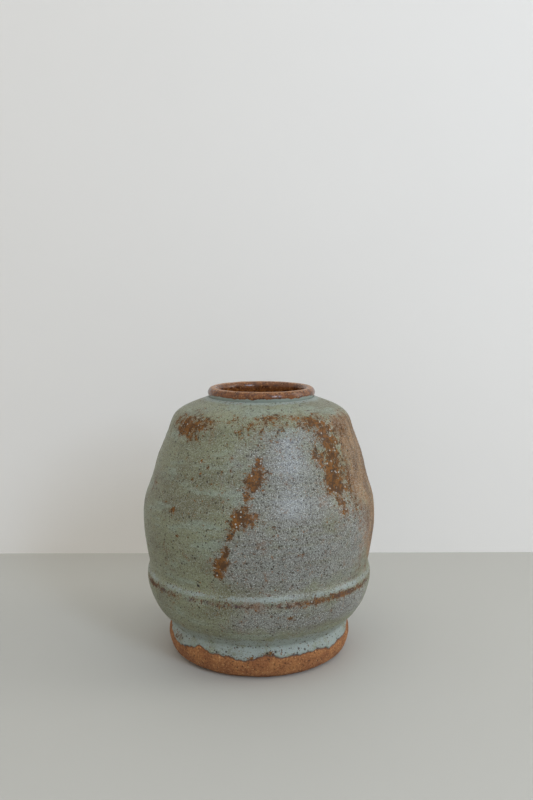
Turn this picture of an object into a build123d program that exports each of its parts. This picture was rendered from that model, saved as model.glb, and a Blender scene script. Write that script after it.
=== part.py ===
from build123d import *
import os

# A wheel-thrown stoneware vase, in millimetres. +Z is up, the axis of the wheel is Z, and the origin is
# the middle of the foot, on the surface that the vase stands on. Every piece is a body of revolution.
# The clay is thrown in sections: a lower bowl, an upper body that stands in the bowl's rim where the ridge
# shows, a foot ring under the bowl and a rolled lip on the neck. Thin clay slip lutes each section to the
# next, and three coats of glaze cover the fired clay: one outside, one on the lip and one inside.

# Driving dimensions
HEIGHT = 140.0  # over the glazed lip
OUTER_GLAZE = 0.6  # thickness of the grey-green coat
LIP_GLAZE = 0.4  # thickness of the iron coat on the lip and down the throat
LINER_GLAZE = 0.4  # thickness of the coat inside
SLIP = 0.4  # thickness of the slip between two thrown sections
AXIS_TO_OUTSIDE = 80.0  # further out than any part of the vase

# Foot
FOOT_REST_RADIUS = 44.6  # outer edge of the face that stands on the table
FOOT_INNER_RADIUS = 39.5
FOOT_EDGE = 1.2  # worn outer corner of the foot
RECESS_HEIGHT = 6.0  # hollow under the floor, inside the foot ring
FLOOR_CORNER_RADIUS = 41.0  # outer bottom corner of the bowl, inside the foot ring
CREASE_RADIUS, CREASE_HEIGHT = 46.6, 17.2  # where the belly turns out of the foot
GLAZE_EDGE_HEIGHT = 12.3  # the outer coat stops here, above the bare foot

# Bowl and ridge
FLOOR_HEIGHT = 12.0  # inside of the floor
CREST_RADIUS, CREST_HEIGHT = 59.0, 42.3  # the ridge
NOTCH_RADIUS, NOTCH_HEIGHT = 57.6, 47.4  # where the upper body comes out of the bowl's rim
LEDGE_HEIGHT = 41.4  # underside of the upper body, on the step inside the bowl's rim
STEP_RADIUS = 55.8  # outside of the upper body below the notch

# Neck and lip
NECK_RADIUS, NECK_HEIGHT = 27.0, 134.4  # top of the upper body, under the lip
GLAZE_JOIN_HEIGHT = 134.9  # the outer coat meets the coat on the lip here
LIP_RADIUS = 28.0  # over the glaze
THROAT_RADIUS = 22.9  # inside the glazed throat
THROAT_BOTTOM = 130.0  # lower end of the straight throat

# Outer surface of the clay as (radius, height), from the table to the lip. Its soft waves are the marks of
# the potter's fingers.
CREASE = (CREASE_RADIUS, CREASE_HEIGHT)
CREST = (CREST_RADIUS, CREST_HEIGHT)
NOTCH = (NOTCH_RADIUS, NOTCH_HEIGHT)
FOOT_FLANK = [(FOOT_REST_RADIUS + FOOT_EDGE, FOOT_EDGE), (47.4, 4.6), (48.5, 9.2), (47.7, 13.6), CREASE]
BELLY = [CREASE, (49.1, 20.4), (53.0, 24.9), (55.9, 29.8), (57.7, 34.6), (58.7, 38.8), CREST]
BOWL_RIM = [CREST, (58.5, 45.2), NOTCH]
UPPER_FLANK = [
    NOTCH,
    (58.2, 52.0),
    (59.5, 60.0),
    (60.4, 68.0),
    (60.4, 76.0),
    (59.4, 83.5),
    (57.0, 90.5),
    (55.0, 97.0),
    (53.6, 103.0),
    (51.0, 110.0),
    (48.2, 117.0),
    (45.6, 124.2),
    (42.0, 128.1),
    (35.6, 131.2),
    (NECK_RADIUS, NECK_HEIGHT),
]
OUTER_SURFACE = [*FOOT_FLANK, *BELLY[1:], *BOWL_RIM[1:], *UPPER_FLANK[1:]]

# Inner surface of the clay as (radius, height), from the floor to the throat.
CLAY_THROAT_RADIUS = THROAT_RADIUS + LIP_GLAZE
INNER_SURFACE = [
    (36.0, FLOOR_HEIGHT),
    (44.4, 18.6),
    (50.2, 29.0),
    (53.2, 42.0),
    (54.2, 56.0),
    (55.4, 70.0),
    (53.2, 86.0),
    (48.8, 102.0),
    (43.4, 116.0),
    (40.0, 123.0),
    (33.4, 127.2),
    (CLAY_THROAT_RADIUS, THROAT_BOTTOM),
]

# Rolled lip, whose top is half a circle from the outside of the lip to the throat
LIP_ROLL = (LIP_RADIUS - THROAT_RADIUS) / 2
LIP_MIDDLE_RADIUS = LIP_RADIUS - LIP_ROLL
LIP_MIDDLE_HEIGHT = HEIGHT - LIP_ROLL
LIP_UNDERSIDE_RADIUS = 26.8  # where the roll stands on the clay of the neck


def region_above(*steps):
    """Everything above a line of (radius, height) steps that runs outwards from the axis."""
    with BuildSketch() as region:
        with BuildLine():
            Polyline(*steps, (AXIS_TO_OUTSIDE, HEIGHT + 1), (0, HEIGHT + 1), close=True)
        make_face()
    return region.sketch_local


def directions(points):
    """The direction of a smooth line at each of the points that it passes through."""
    before = [points[0], *points[:-1]]
    after = [*points[1:], points[-1]]
    return [(Vector(*last) - Vector(*first)).normalized() for first, last in zip(before, after)]


def coated(points, thickness):
    """Points moved off a surface by the thickness of a coat, to the right of the way that they run."""
    moved = []
    for (radius, height), along in zip(points, directions(points)):
        moved.append((radius + thickness * along.Y, height - thickness * along.X))
    return moved


def smooth_line(points):
    """Draws a smooth line through points, as short curves that share a direction where they meet."""
    along = directions(points)
    for start, end, leaving, arriving in zip(points, points[1:], along, along[1:]):
        Spline(start, end, tangents=[leaving, arriving])


def clay_outline():
    """The half section from the axis to the outer surface of the clay, up to the neck."""
    with BuildSketch() as region:
        with BuildLine():
            Line((0, 0), (FOOT_REST_RADIUS, 0))
            RadiusArc((FOOT_REST_RADIUS, 0), OUTER_SURFACE[0], -FOOT_EDGE)
            smooth_line(OUTER_SURFACE)
            Polyline(OUTER_SURFACE[-1], (0, NECK_HEIGHT), (0, 0))
        make_face()
    return region.sketch_local


def glazed_outline():
    """The half section from the axis to the surface of the outer coat, which rounds the corners off."""
    surface = coated(OUTER_SURFACE, OUTER_GLAZE)
    with BuildSketch() as region:
        with BuildLine():
            smooth_line(surface)
            Polyline(surface[-1], (0, HEIGHT), (0, 0), surface[0])
        make_face()
    return region.sketch_local


def lip_outline(coat=0.0):
    """The half section of the rolled lip and the throat wall under it, with a coat of this thickness."""
    with BuildSketch() as region:
        with BuildLine():
            roll = CenterArc(
                (LIP_MIDDLE_RADIUS, LIP_MIDDLE_HEIGHT),
                LIP_ROLL - LIP_GLAZE + coat,
                start_angle=0,
                arc_size=180,
            )
            underside = TangentArc(
                roll @ 0,
                (LIP_UNDERSIDE_RADIUS + coat, NECK_HEIGHT),
                tangent=(0, -1),
            )
            Polyline(
                roll @ 1,
                ((roll @ 1).X, THROAT_BOTTOM),
                (LIP_MIDDLE_RADIUS, THROAT_BOTTOM),
                underside @ 1,
            )
        make_face()
    return region.sketch_local


def hollow_inside(surface):
    """The half section of the space inside a surface that runs from the edge of the floor to the throat."""
    throat_radius = surface[-1][0]
    floor_height = surface[0][1]
    with BuildSketch() as region:
        with BuildLine():
            smooth_line(surface)
            Polyline(
                surface[-1],
                (throat_radius, HEIGHT + 1),
                (0, HEIGHT + 1),
                (0, floor_height),
                surface[0],
            )
        make_face()
    return region.sketch_local


def foot_recess():
    """The half section of the hollow under the floor."""
    with BuildSketch() as region:
        Rectangle(FOOT_INNER_RADIUS, RECESS_HEIGHT, align=(Align.MIN, Align.MIN))
    return region.sketch_local


def grown(section, thickness):
    """A section with this thickness added all round it."""
    with BuildSketch() as region:
        add(section)
        offset(amount=thickness)
    return region.sketch_local


def section_of(first, within=(), without=()):
    """The part of a section that lies in every region of within and in none of without."""
    with BuildSketch() as region:
        add(first)
        for limit in within:
            add(limit, mode=Mode.INTERSECT)
        for limit in without:
            add(limit, mode=Mode.SUBTRACT)
    return region.sketch_local


def thrown(name, *sections):
    """Turns sections round the axis of the wheel and writes them as one named piece."""
    with BuildPart() as piece:
        for section in sections:
            with BuildSketch(Plane.XZ):
                add(section)
            revolve(axis=Axis.Z)
    piece.part.label = name
    export_step(piece.part, f"parts/{name}.step")
    print(name, "solids", len(piece.part.solids()), "volume", round(piece.part.volume))


# The whole section of the clay, and the joints that part it into thrown pieces
hollow = hollow_inside(INNER_SURFACE)
with BuildSketch() as filled:
    add(clay_outline())
    add(lip_outline())
outline = filled.sketch_local
clay = section_of(outline, without=[hollow, foot_recess()])

above_foot_joint = region_above(
    (0, RECESS_HEIGHT),
    (FLOOR_CORNER_RADIUS, RECESS_HEIGHT),
    CREASE,
    (AXIS_TO_OUTSIDE, CREASE_HEIGHT),
)
above_ridge_joint = region_above(
    (0, LEDGE_HEIGHT),
    (STEP_RADIUS, LEDGE_HEIGHT),
    (STEP_RADIUS, NOTCH_HEIGHT),
    (AXIS_TO_OUTSIDE, NOTCH_HEIGHT),
)
above_lip_joint = region_above((0, NECK_HEIGHT), (AXIS_TO_OUTSIDE, NECK_HEIGHT))
joints = [above_foot_joint, above_ridge_joint, above_lip_joint]
slipped_joints = [grown(joint, SLIP) for joint in joints]

# The coats lie on the clay, each between the heights where it was poured or brushed
above_glaze_edge = region_above((0, GLAZE_EDGE_HEIGHT), (AXIS_TO_OUTSIDE, GLAZE_EDGE_HEIGHT))
above_glaze_join = region_above(
    (0, THROAT_BOTTOM),
    (LIP_MIDDLE_RADIUS, THROAT_BOTTOM),
    (LIP_MIDDLE_RADIUS, GLAZE_JOIN_HEIGHT),
    (AXIS_TO_OUTSIDE, GLAZE_JOIN_HEIGHT),
)
liner_surface = coated(INNER_SURFACE, -LINER_GLAZE)
liner_surface[0] = (liner_surface[0][0], FLOOR_HEIGHT + LINER_GLAZE)
liner_surface[-1] = (THROAT_RADIUS, THROAT_BOTTOM)
inside_liner = hollow_inside(liner_surface)
outer_coat = section_of(glazed_outline(), [above_glaze_edge], [outline, hollow, above_glaze_join])
lip_coat = section_of(lip_outline(LIP_GLAZE), [above_glaze_join], [clay])
liner_coat = section_of(hollow, without=[inside_liner, above_glaze_join])

os.makedirs("parts", exist_ok=True)
thrown("foot_ring", section_of(clay, without=[slipped_joints[0]]))
thrown("lower_bowl", section_of(clay, [above_foot_joint], [slipped_joints[1]]))
thrown("upper_body", section_of(clay, [above_ridge_joint], [slipped_joints[2]]))
thrown("rolled_lip", section_of(clay, [above_lip_joint]))
thrown(
    "joining_slip",
    *[section_of(clay, [slipped], [joint]) for slipped, joint in zip(slipped_joints, joints)],
)
thrown("outer_glaze", outer_coat)
thrown("lip_glaze", lip_coat)
thrown("liner_glaze", liner_coat)
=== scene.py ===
"""A wheel-thrown stoneware vase, dressed in its glazes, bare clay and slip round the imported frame.

Lengths are in metres and angles in degrees unless a comment says otherwise. +Z is up, the axis of the
wheel is Z, and -Y is the front. An angle round the vase is 0 at -Y and grows towards +X.
"""

from __future__ import annotations

import logging
import math
import random
from collections.abc import Callable, Iterable
from dataclasses import dataclass, field
from enum import Enum
from functools import cache

import bmesh
import bpy
from mathutils import Matrix, Vector, noise
from mathutils.bvhtree import BVHTree
from mathutils.kdtree import KDTree


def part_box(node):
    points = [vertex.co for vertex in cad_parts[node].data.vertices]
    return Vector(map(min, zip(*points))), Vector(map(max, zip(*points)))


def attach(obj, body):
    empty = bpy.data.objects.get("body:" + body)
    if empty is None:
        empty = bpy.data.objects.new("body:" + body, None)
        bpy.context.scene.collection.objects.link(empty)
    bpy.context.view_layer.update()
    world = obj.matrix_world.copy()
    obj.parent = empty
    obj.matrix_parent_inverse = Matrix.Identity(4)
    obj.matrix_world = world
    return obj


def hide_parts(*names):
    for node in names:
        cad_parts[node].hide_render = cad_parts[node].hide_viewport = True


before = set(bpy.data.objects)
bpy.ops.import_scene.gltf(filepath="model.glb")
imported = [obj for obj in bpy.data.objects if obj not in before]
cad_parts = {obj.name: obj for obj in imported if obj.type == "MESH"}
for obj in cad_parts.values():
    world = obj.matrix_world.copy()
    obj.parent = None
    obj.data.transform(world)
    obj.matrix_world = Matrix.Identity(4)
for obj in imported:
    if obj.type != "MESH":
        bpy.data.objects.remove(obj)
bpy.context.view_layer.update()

LOG = logging.getLogger("vase")
MM = 0.001
BODY = "root"
WELD = 1e-6
HEIGHT = 140 * MM  # the whole vase
ROLL = 2.55 * MM  # middle of the coated lip's roll, in from its outside and down from its top
CREST = 42.2  # height in millimetres of the ridge's crest
NOTCH = 48.0  # height in millimetres of the notch over the ridge
PIT_DEPTH = 0.5  # depth in millimetres of the largest pinholes
DAB_REACH = 2.2  # how many times its half size a dab of colour reaches
CUT_TURN = 0.31  # turn in radians of the plane that cuts a node in half, off every edge of its mesh
SLICES = 16  # a turned piece is spun as one slice of so many, and then copied round
# The rim mark is scorch along the lower edge and the crest, and painted shade in the notch over the
# ridge.
COAT_MARKS = ("rust", "mottle", "blush", "pool", "scorch_and_notch_shade", "pit")  # what is painted on the outer coat
UP = Vector((0.0, 0.0, 1.0))

Colour = tuple[float, float, float, float]
Socket = bpy.types.NodeSocket


# --------------------------------------------------------------------------------------------------
# Small sums
# --------------------------------------------------------------------------------------------------


def ease(value: float, low: float, high: float) -> float:
    """Gives a soft step from 0 to 1.

    Args:
        value: What is compared.
        low: Where the step starts.
        high: Where the step ends. It may be less than low, which turns the step round.

    Returns:
        0 before low, 1 after high, and a smooth curve between them.
    """
    share = min(max((value - low) / (high - low), 0.0), 1.0)
    return share * share * (3.0 - 2.0 * share)


def hump(value: float, middle: float, width: float) -> float:
    """Gives a bell curve that is 1 at its middle and falls off over its width.

    Args:
        value: What is compared.
        middle: Where the bell stands.
        width: How far out it has fallen to a third.

    Returns:
        The bell's height, from 0 to 1.
    """
    return math.exp(-(((value - middle) / width) ** 2))


def turn_between(angle: float, other: float) -> float:
    """Gives the short way round from one angle to another.

    Args:
        angle: Where the turn ends.
        other: Where the turn starts.

    Returns:
        The turn, from -180 to 180.
    """
    return (angle - other + 180.0) % 360.0 - 180.0


def angle_of(place: Vector) -> float:
    """Returns the angle round the vase at which a place lies."""
    return math.degrees(math.atan2(place.x, -place.y))


def polar(radius: float, angle: float, height: float) -> Vector:
    """Places a point by its radius, angle and height.

    Args:
        radius: Distance from the axis.
        angle: Angle round the vase.
        height: Height above the table.

    Returns:
        The point in the vase's own frame.
    """
    turn = math.radians(angle)
    return Vector((radius * math.sin(turn), -radius * math.cos(turn), height))


def ripple(angle: float, height: float, round_scale: float, up_scale: float, seed: float) -> float:
    """Gives smooth noise that closes on itself round the vase.

    Args:
        angle: Angle round the vase.
        height: Height above the table.
        round_scale: How many waves there are in about one radian.
        up_scale: How many waves there are in a metre of height.
        seed: Picks one pattern.

    Returns:
        A value from about -1 to 1.
    """
    turn = math.radians(angle)
    spot = Vector((round_scale * math.sin(turn), round_scale * math.cos(turn), up_scale * height))
    return noise.noise(spot + Vector((seed, -seed, 0.5 * seed)))


# --------------------------------------------------------------------------------------------------
# The clay, as the frame holds it
# --------------------------------------------------------------------------------------------------


@dataclass(frozen=True)
class Spot:
    """One point of a turned surface's line, with the way that it faces.

    Args:
        radius: Distance from the axis.
        height: Height above the table.
        out: How much the surface faces away from the axis.
        rise: How much it faces up.
    """

    radius: float
    height: float
    out: float
    rise: float

    def off(self, distance: float) -> Vector:
        """Returns the (radius, 0, height) point that stands this far off the surface."""
        return Vector((self.radius + self.out * distance, 0.0, self.height + self.rise * distance))


@dataclass
class ClayLine:
    """The outer surface of the clay, as a line from the foot to the neck that is measured on the frame.

    Args:
        nodes: The nodes that make the surface.
        step: Height between two measured points.
        first: The row of the lowest point.
        window: How many rows up and down the slope is read over.
        reach: A radius outside the whole vase.
        spots: The points, from the foot up.
    """

    nodes: tuple[str, ...] = ("foot_ring", "joining_slip", "lower_bowl", "upper_body")
    step: float = 0.25 * MM
    first: int = 2
    window: int = 3
    reach: float = 0.1
    spots: list[Spot] = field(default_factory=list)

    def __post_init__(self) -> None:
        """Measures the radius at every height."""
        clay = bmesh.new()
        for node in self.nodes:
            clay.from_mesh(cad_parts[node].data)
        tree = BVHTree.FromBMesh(clay)
        clay.free()
        self.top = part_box("upper_body")[1].z
        rows: list[tuple[float, float]] = []
        for row in range(self.first, int(self.top / self.step)):
            height = row * self.step
            hit = tree.ray_cast(Vector((self.reach, 0.0, height)), Vector((-1.0, 0.0, 0.0)))[0]
            rows.append((hit.x, height))
        for index, (radius, height) in enumerate(rows):
            last = rows[max(index - self.window, 0)]
            following = rows[min(index + self.window, len(rows) - 1)]
            along = Vector((following[0] - last[0], following[1] - last[1])).normalized()
            self.spots.append(Spot(radius, height, along.y, -along.x))

    def at(self, height: float) -> Spot:
        """Gives the surface at a height.

        Args:
            height: Height above the table.

        Returns:
            The spot on the line there.
        """
        place = min(max(height / self.step - self.first, 0.0), len(self.spots) - 1.001)
        row = int(place)
        share = place - row
        low, high = self.spots[row], self.spots[row + 1]
        return Spot(
            low.radius + share * (high.radius - low.radius),
            low.height + share * (high.height - low.height),
            low.out + share * (high.out - low.out),
            low.rise + share * (high.rise - low.rise),
        )

    def heights(self, bottom: float, top: float, spacing: float) -> list[float]:
        """Gives heights that are evenly spaced along the line.

        Args:
            bottom: The first height.
            top: The last height.
            spacing: Distance along the surface between two of them.

        Returns:
            The heights, both ends included.
        """
        chosen = [bottom]
        last = self.at(bottom)
        height = bottom
        while height < top:
            height += self.step
            now = self.at(height)
            if math.hypot(now.radius - last.radius, now.height - last.height) >= spacing:
                chosen.append(height)
                last = now
        chosen[-1] = top
        return chosen


@dataclass(frozen=True)
class PottersHand:
    """How the thrown clay strays from a true turned shape. Every piece is moved by the same hand.

    Args:
        lean: How far the lip stands to the right of the axis.
        lean_start: Height at which the lean begins.
        oval: How far the wall is out of round.
        wander: Size of the broad, soft dents of the wall.
        dip: How much lower the lip is at the front than at the back.
    """

    lean: float = 1.3 * MM
    lean_start: float = 60 * MM
    oval: float = 0.22 * MM
    wander: float = 0.3 * MM
    dip: float = 0.6 * MM

    def shape(self, place: Vector) -> Vector:
        """Moves one point.

        Args:
            place: A point of the true turned shape.

        Returns:
            Where it lies on the thrown one.
        """
        angle = angle_of(place)
        radius = math.hypot(place.x, place.y)
        grip = ease(place.z, 0.0, 25 * MM) * ease(place.z, HEIGHT, 128 * MM)
        share = radius / (60 * MM)
        turn = math.radians(angle)
        stray = self.oval * math.cos(2.0 * turn + 0.7 + 9.0 * place.z)
        stray += self.wander * ripple(angle, place.z, 1.3, 32.0, 4.0)
        radius += stray * share * (0.25 + 0.75 * grip)
        moved = polar(radius, angle, place.z)
        moved.x += self.lean * ease(place.z, self.lean_start, HEIGHT)
        moved.z -= self.dip * ease(place.z, 124 * MM, 137 * MM) * (0.5 + 0.5 * math.cos(turn))
        return moved


# --------------------------------------------------------------------------------------------------
# Marks of the kiln
# --------------------------------------------------------------------------------------------------


class Mark(Enum):
    """What a dab leaves in the glaze."""

    RUST = "rust"
    MOTTLE = "mottle"
    BLUSH = "blush"


@dataclass(frozen=True)
class Dab:
    """One soft patch on the outside of the vase.

    Args:
        angle: Angle round the vase of its middle.
        height: Height of its middle in millimetres.
        wide: Half its width in millimetres, along the surface.
        tall: Half its height in millimetres.
        strength: How much it shows, from 0 to 1.
    """

    angle: float
    height: float
    wide: float
    tall: float
    strength: float

    def at(self, angle: float, height: float, radius: float) -> float:
        """Gives how much of the patch lies at a place.

        Args:
            angle: Angle round the vase.
            height: Height in millimetres.
            radius: Radius of the vase there in millimetres.

        Returns:
            The strength there, from 0 to 1.
        """
        up = (height - self.height) / self.tall
        if abs(up) > DAB_REACH:
            return 0.0
        across = math.radians(turn_between(angle, self.angle)) * radius / self.wide
        if abs(across) > DAB_REACH:
            return 0.0
        return self.strength * math.exp(-(up * up) - across * across)


LEANING_STREAK = (
    Dab(-0.6, 108.6, 1.8, 2.0, 0.80),
    Dab(-1.6, 103.6, 4.6, 3.7, 1.00),
    Dab(-3.6, 99.2, 3.7, 3.1, 0.95),
    Dab(-6.2, 93.6, 2.5, 3.7, 0.60),
    Dab(-8.4, 85.0, 4.8, 3.1, 1.00),
    Dab(-10.6, 81.2, 3.2, 2.6, 0.95),
    Dab(-2.6, 83.6, 5.8, 3.5, 0.40),
    Dab(-13.0, 76.0, 1.6, 3.3, 0.75),
    Dab(-15.0, 68.6, 2.1, 2.9, 0.85),
    Dab(-16.9, 62.6, 4.1, 3.5, 1.00),
    Dab(-18.4, 57.6, 2.8, 2.6, 0.90),
)
FALLING_STREAK = (
    Dab(34.0, 126.0, 7.2, 2.6, 0.65),
    Dab(40.0, 121.5, 6.5, 3.5, 0.75),
    Dab(42.0, 116.0, 5.0, 4.4, 0.90),
    Dab(41.5, 110.0, 4.9, 4.4, 0.88),
    Dab(40.5, 103.5, 5.8, 4.0, 0.92),
    Dab(40.2, 97.4, 6.4, 4.4, 1.00),
    Dab(40.8, 94.4, 6.7, 2.2, 1.00),
    Dab(43.0, 88.0, 3.5, 4.4, 0.65),
    Dab(44.2, 83.0, 2.6, 2.6, 0.55),
    Dab(33.0, 109.0, 4.3, 2.6, 0.45),
    Dab(51.0, 94.0, 4.0, 6.0, 0.42),
    Dab(53.0, 84.0, 4.4, 8.0, 0.42),
)
WARM_FLANK = (
    Dab(81.0, 110.0, 22.0, 13.0, 0.92),
    Dab(79.0, 93.0, 20.0, 12.0, 0.95),
    Dab(81.0, 77.0, 24.0, 12.0, 0.97),
    Dab(77.0, 61.0, 21.0, 11.5, 0.97),
    Dab(107.0, 98.0, 13.0, 17.0, 0.50),
    Dab(113.0, 74.0, 10.0, 14.0, 0.42),
    Dab(70.0, 118.0, 16.0, 9.0, 0.90),
    Dab(59.0, 103.0, 8.0, 17.0, 0.80),
    Dab(50.0, 124.0, 10.0, 4.0, 0.55),
    Dab(-54.0, 123.0, 10.0, 5.0, 0.60),
    Dab(-84.0, 104.0, 9.0, 12.0, 0.35),
    Dab(118.0, 112.0, 20.0, 12.0, 0.70),
    Dab(236.0, 116.0, 18.0, 9.0, 0.70),
    Dab(196.0, 60.0, 16.0, 12.0, 0.50),
)
SHOULDER_CLOUDS = (
    Dab(-52.0, 120.5, 8.0, 3.6, 0.58),
    Dab(-46.0, 123.5, 8.1, 3.2, 0.48),
    Dab(-55.0, 124.6, 11.0, 4.2, 0.46),
    Dab(-38.0, 124.5, 5.5, 2.4, 0.52),
    Dab(-44.0, 118.0, 4.9, 2.6, 0.36),
    Dab(4.0, 119.0, 10.0, 5.0, 0.28),
    Dab(50.0, 106.0, 4.0, 9.0, 0.34),
    Dab(31.0, 112.0, 3.0, 6.0, 0.40),
    Dab(3.5, 127.9, 5.9, 1.7, 0.56),
    Dab(-1.5, 125.2, 4.9, 1.6, 0.44),
    Dab(8.0, 129.0, 5.5, 1.1, 0.44),
    Dab(-17.0, 127.5, 2.6, 1.6, 0.44),
    Dab(24.0, 128.0, 6.5, 1.8, 0.44),
    Dab(29.0, 125.2, 5.2, 2.4, 0.52),
    Dab(-27.0, 133.6, 7.4, 0.6, 0.48),
    Dab(-30.0, 126.5, 3.8, 1.8, 0.36),
    Dab(-10.0, 123.0, 5.0, 2.3, 0.34),
    Dab(12.0, 124.5, 5.0, 2.8, 0.34),
    Dab(56.0, 120.0, 6.2, 4.6, 0.40),
)
IRON_SPOTS = (
    Dab(-44.4, 84.7, 1.5, 1.2, 1.00),
    Dab(14.8, 35.6, 1.4, 1.0, 0.90),
    Dab(-33.0, 108.0, 0.8, 0.8, 0.95),
    Dab(-31.8, 103.3, 0.8, 0.7, 0.95),
    Dab(-24.6, 98.7, 0.8, 0.7, 0.90),
    Dab(-17.5, 91.2, 0.8, 0.7, 0.90),
    Dab(-27.5, 106.0, 0.7, 0.6, 0.90),
    Dab(-36.0, 99.5, 0.6, 0.6, 0.85),
    Dab(-24.0, 88.5, 0.6, 0.6, 0.85),
    Dab(-40.0, 73.0, 0.8, 0.6, 0.80),
    Dab(-33.5, 62.0, 0.6, 0.6, 0.80),
    Dab(7.0, 80.5, 3.4, 0.7, 0.30),
    Dab(19.5, 66.5, 2.6, 0.9, 0.55),
    Dab(-5.0, 11.8, 2.2, 0.9, 0.85),
    Dab(5.5, 13.8, 3.0, 0.9, 0.85),
    Dab(-59.0, 13.4, 4.5, 1.6, 0.60),
)
GRANULAR = (
    Dab(15.0, 90.0, 26.0, 22.0, 1.00),
    Dab(20.0, 60.0, 32.0, 15.0, 0.98),
    Dab(8.0, 112.0, 16.0, 12.0, 0.85),
    Dab(8.0, 34.0, 26.0, 7.5, 0.90),
    Dab(52.0, 35.0, 22.0, 7.5, 0.95),
    Dab(54.0, 70.0, 15.0, 17.0, 0.85),
    Dab(-8.0, 66.0, 14.0, 12.0, 0.60),
    Dab(34.0, 120.0, 12.0, 7.0, 0.60),
    Dab(140.0, 92.0, 34.0, 22.0, 0.90),
    Dab(212.0, 70.0, 36.0, 20.0, 0.85),
    Dab(175.0, 36.0, 30.0, 7.0, 0.70),
)


@dataclass
class KilnMarks:
    """Where the glaze broke to rust and where it went granular, all round the vase.

    Args:
        seed: Picks the streaks that run down the back.
        back_streaks: Angles of those streaks.
        band: Height of one band in millimetres.
        dabs: The dabs that reach into each band, by mark.
    """

    seed: int = 7
    back_streaks: tuple[float, ...] = (129.0, 166.0, 187.0, 229.0, 258.0)
    band: float = 4.0
    dabs: dict[tuple[Mark, int], list[Dab]] = field(default_factory=dict)

    def __post_init__(self) -> None:
        """Gathers the marks, adds those of the back, and sorts them all into bands of height."""
        rust = [*LEANING_STREAK, *FALLING_STREAK, *SHOULDER_CLOUDS, *IRON_SPOTS]
        chance = random.Random(self.seed)
        for angle in self.back_streaks:
            rust += self.streak(chance, angle)
        for mark, dabs in ((Mark.RUST, rust), (Mark.MOTTLE, GRANULAR), (Mark.BLUSH, WARM_FLANK)):
            for dab in dabs:
                lowest = int((dab.height - DAB_REACH * dab.tall) // self.band)
                highest = int((dab.height + DAB_REACH * dab.tall) // self.band)
                for band in range(lowest, highest + 1):
                    self.dabs.setdefault((mark, band), []).append(dab)

    @staticmethod
    def streak(chance: random.Random, angle: float) -> list[Dab]:
        """Lets one streak run down from the shoulder.

        Args:
            chance: Where the random numbers come from.
            angle: Where the streak starts.

        Returns:
            Its dabs, from the top down.
        """
        height = chance.uniform(112.0, 126.0)
        end = height - chance.uniform(18.0, 64.0)
        drift = chance.uniform(-1.9, 1.9)
        run = [Dab(angle + chance.uniform(-4.0, 4.0), height + 2.5, chance.uniform(4.5, 8.0), 2.6, 0.5)]
        while height > end:
            tall = chance.uniform(1.8, 4.6)
            wide = chance.uniform(1.4, 5.4)
            run.append(Dab(angle, height, wide, tall, chance.uniform(0.45, 1.0)))
            if chance.random() < 0.4:
                aside = math.copysign(chance.uniform(4.0, 8.0), chance.uniform(-1.0, 1.0))
                run.append(Dab(angle + aside, height, 1.2 * wide, 0.8 * tall, 0.42))
            height -= tall * chance.uniform(1.0, 2.2)
            angle += drift + chance.uniform(-1.8, 1.8)
        return run

    def strength(self, mark: Mark, angle: float, height: float, radius: float) -> float:
        """Gives how much of a mark lies at a place.

        Args:
            mark: Which mark.
            angle: Angle round the vase.
            height: Height above the table.
            radius: Radius there.

        Returns:
            The strength, from 0 to 1.
        """
        clear = 1.0
        for dab in self.dabs.get((mark, int(height / MM // self.band)), ()):
            clear *= 1.0 - dab.at(angle, height / MM, radius / MM)
        return 1.0 - clear


# --------------------------------------------------------------------------------------------------
# Meshes
# --------------------------------------------------------------------------------------------------


def cut_section(node: str) -> bmesh.types.BMesh:
    """Cuts a turned node through its axis and keeps the outline of one half.

    Args:
        node: The node's name.

    Returns:
        A bmesh with the outline's vertices and edges alone.
    """
    across = Vector((math.sin(CUT_TURN), math.cos(CUT_TURN), 0.0))
    half = Vector((across.y, -across.x, 0.0))
    section = bmesh.new()
    section.from_mesh(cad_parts[node].data)
    bmesh.ops.remove_doubles(section, verts=section.verts, dist=WELD)
    for normal, outer in ((across, True), (half, False)):
        bmesh.ops.bisect_plane(
            section,
            geom=[*section.verts, *section.edges, *section.faces],
            dist=WELD / 10,
            plane_co=(0.0, 0.0, 0.0),
            plane_no=normal,
            clear_inner=True,
            clear_outer=outer,
        )
    bmesh.ops.delete(section, geom=section.faces, context="FACES_ONLY")
    return section


def spin_round(shape: bmesh.types.BMesh, steps: int) -> None:
    """Turns an outline once round the wheel and closes the skin that it leaves.

    One slice is turned first, and then the part that is there is copied and turned on until it is whole.

    Args:
        shape: The outline, which becomes the turned mesh.
        steps: How many steps the turn has, a multiple of SLICES.
    """
    bmesh.ops.spin(
        shape,
        geom=[*shape.verts, *shape.edges],
        cent=(0.0, 0.0, 0.0),
        axis=UP,
        dvec=(0.0, 0.0, 0.0),
        angle=math.tau / SLICES,
        steps=steps // SLICES,
        use_merge=False,
        use_duplicate=False,
    )
    done = 1
    while done < SLICES:
        copied = bmesh.ops.duplicate(shape, geom=[*shape.verts, *shape.edges, *shape.faces])["geom"]
        wheel = Matrix.Rotation(math.tau * done / SLICES, 3, UP)
        turned = [part for part in copied if isinstance(part, bmesh.types.BMVert)]
        bmesh.ops.rotate(shape, verts=turned, cent=(0.0, 0.0, 0.0), matrix=wheel)
        done *= 2
    bmesh.ops.remove_doubles(shape, verts=shape.verts, dist=WELD)
    bmesh.ops.dissolve_degenerate(shape, edges=shape.edges, dist=WELD)
    bmesh.ops.recalc_face_normals(shape, faces=shape.faces)


def thread(shape: bmesh.types.BMesh, points: Iterable[Vector], closed: bool = True) -> None:
    """Draws an outline through points.

    Args:
        shape: Where the outline is drawn.
        points: The points in order.
        closed: Whether the last point joins the first.
    """
    knots = [shape.verts.new(point) for point in points]
    for start, end in zip(knots, knots[1:]):
        shape.edges.new((start, end))
    if closed:
        shape.edges.new((knots[-1], knots[0]))


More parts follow.
